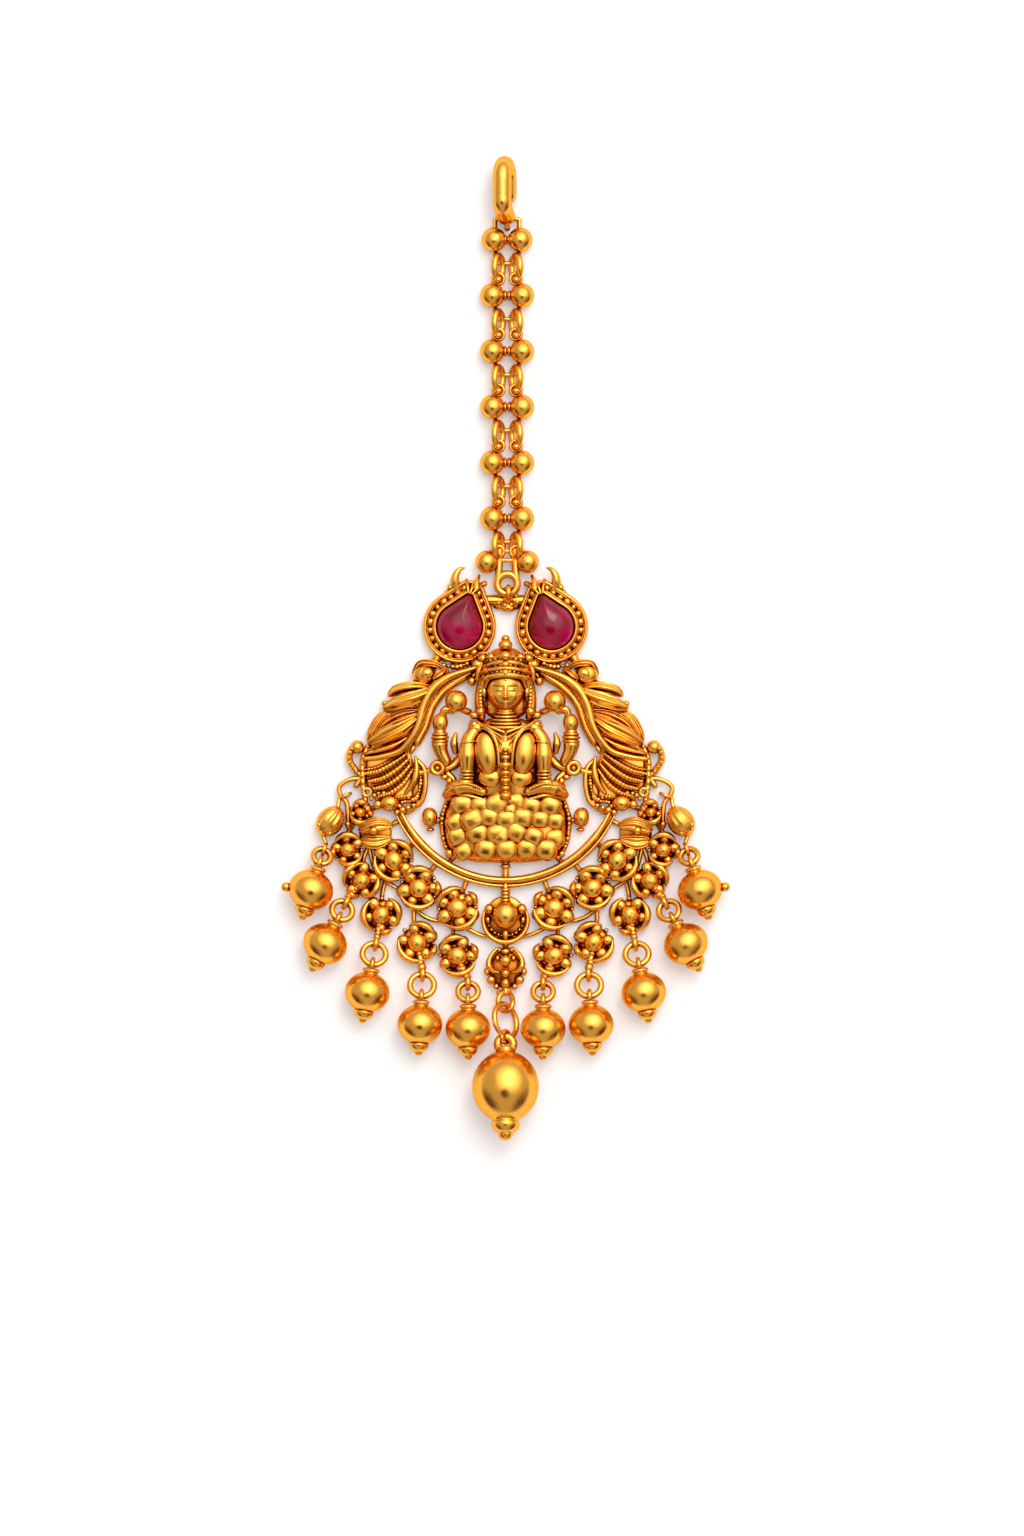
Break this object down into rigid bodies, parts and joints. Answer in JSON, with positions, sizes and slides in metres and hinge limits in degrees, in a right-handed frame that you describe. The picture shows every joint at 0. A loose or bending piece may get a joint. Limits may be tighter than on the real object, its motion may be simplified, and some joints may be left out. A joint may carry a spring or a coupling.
{
  "type": "maang tikka with ball chain, goddess plaque, two rubies and drops",
  "caption": "Forehead ornament: a ball chain with a hair hook, a cast gold plaque with a seated goddess between two birds, ruby cabochons and a fringe of hanging gold drops.",
  "frame": {"origin": "middle of the whole piece's footprint, on the surface that it lies on", "axes": "+Y along the chain towards the hair hook, +Z out of the front face, +X to the viewer's right"},
  "size_m": [0.0538, 0.1182, 0.008],
  "materials": {
    "gold": "high-carat gold, polished on raised parts, with a warm dark antique patina in the recesses",
    "ruby": "polished translucent ruby cabochon"
  },
  "bodies": {
    "root": {"chain_ring_1_left": "gold", "chain_ring_1_right": "gold", "chain_ring_2_left": "gold", "chain_ring_2_right": "gold", "chain_ring_3_left": "gold", "chain_ring_3_right": "gold", "chain_ring_4_left": "gold", "chain_ring_4_right": "gold", "chain_ring_5_left": "gold", "chain_ring_5_right": "gold", "chain_ring_6_left": "gold", "chain_ring_6_right": "gold", "chain_unit_1": "gold", "chain_unit_2": "gold", "chain_unit_3": "gold", "chain_unit_4": "gold", "chain_unit_5": "gold", "chain_unit_6": "gold", "drop_1_left": "gold", "drop_1_right": "gold", "drop_2_left": "gold", "drop_2_right": "gold", "drop_3_left": "gold", "drop_3_right": "gold", "drop_4_left": "gold", "drop_4_right": "gold", "drop_5_left": "gold", "drop_5_right": "gold", "hair_hook": "gold", "jump_ring_1_left": "gold", "jump_ring_1_right": "gold", "jump_ring_2_left": "gold", "jump_ring_2_right": "gold", "jump_ring_3_left": "gold", "jump_ring_3_right": "gold", "jump_ring_4_left": "gold", "jump_ring_4_right": "gold", "jump_ring_5_left": "gold", "jump_ring_5_right": "gold", "leaf_bead_left": "gold", "leaf_bead_right": "gold", "main_drop": "gold", "main_ring": "gold", "plaque": "gold", "ruby_left": "ruby", "ruby_right": "ruby", "yoke": "gold"}
  },
  "joints": []
}
